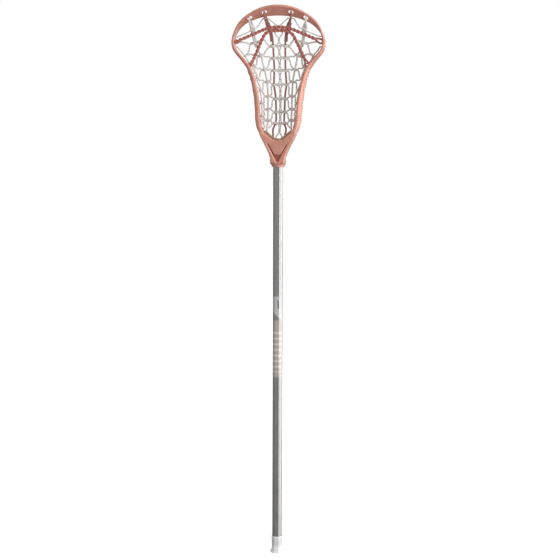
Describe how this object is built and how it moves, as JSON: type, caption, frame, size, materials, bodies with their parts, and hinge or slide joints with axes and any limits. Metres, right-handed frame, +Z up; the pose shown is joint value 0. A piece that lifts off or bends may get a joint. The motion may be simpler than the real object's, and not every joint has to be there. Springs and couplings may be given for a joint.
{
  "type": "lacrosse stick",
  "caption": "Lacrosse stick: moulded copper-coloured head with a hand-woven pocket, octagonal alloy handle, locking screw and rubber butt cap.",
  "frame": {"origin": "middle of the butt cap's flat bottom face, on the handle's axis", "axes": "+Z up along the handle to the scoop; the open front of the head, the side the ball enters, faces -Y and the pocket hangs towards +Y; +X is the right-hand side seen from the front"},
  "size_m": [0.1808, 0.0623, 1.097],
  "materials": {
    "shaft_alloy": "satin anodised silver-grey",
    "cap_rubber": "matt, white",
    "head_plastic": "satin rose-copper nylon",
    "pad_foam": "matt closed-cell foam",
    "screw_steel": "zinc-plated",
    "grey_string": "braided nylon cord, light grey",
    "maroon_string": "woven nylon thong, maroon",
    "shooting_string": "twisted waxed cord, maroon"
  },
  "bodies": {
    "stick": {"shaft": "shaft_alloy", "head_frame": "head_plastic", "ball_stop_pad": "pad_foam", "outer_thong_left": "grey_string", "outer_thong_right": "grey_string", "centre_lace_left": "grey_string", "centre_lace_right": "grey_string", "inner_cross_lace_left": "grey_string", "inner_cross_lace_right": "grey_string", "outer_cross_lace_left": "grey_string", "outer_cross_lace_right": "grey_string", "sidewall_string_left": "grey_string", "sidewall_string_right": "grey_string", "top_string": "grey_string", "inner_thong_left": "maroon_string", "inner_thong_right": "maroon_string", "upper_shooting_string": "shooting_string", "lower_shooting_string": "shooting_string"},
    "end_cap": {"end_cap": "cap_rubber"},
    "head_screw": {"head_screw": "screw_steel"}
  },
  "joints": [
    {"name": "end_cap_pull", "type": "slide", "parent": "stick", "child": "end_cap", "axis": [0, 0, -1], "range_m": [0, 0.04]},
    {"name": "head_screw_out", "type": "slide", "parent": "stick", "child": "head_screw", "axis": [0, 1, 0], "range_m": [0, 0.014]}
  ]
}
